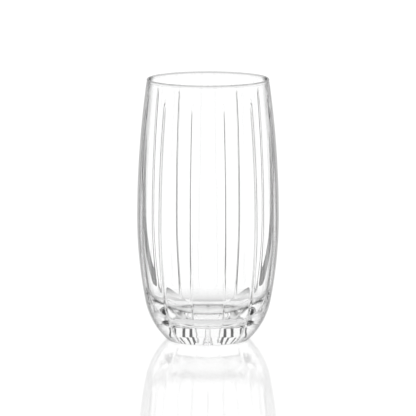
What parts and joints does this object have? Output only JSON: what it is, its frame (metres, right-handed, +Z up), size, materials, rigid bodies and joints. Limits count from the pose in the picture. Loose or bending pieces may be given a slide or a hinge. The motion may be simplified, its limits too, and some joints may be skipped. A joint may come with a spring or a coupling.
{
  "type": "highball glass",
  "caption": "Clear barrel-shaped highball glass with upright panels between shallow grooves, a rounded rim and a thick solid base.",
  "frame": {"origin": "middle of the plane that the foot rests on, on the glass's axis", "axes": "+Z up along the glass's axis, -Y to the front, where the middle of one panel faces"},
  "size_m": [0.0812, 0.0812, 0.15],
  "materials": {
    "clear_glass": "clear soda-lime glass, mould-smooth and fire-polished"
  },
  "bodies": {
    "root": {"tumbler": "clear_glass"}
  },
  "joints": []
}
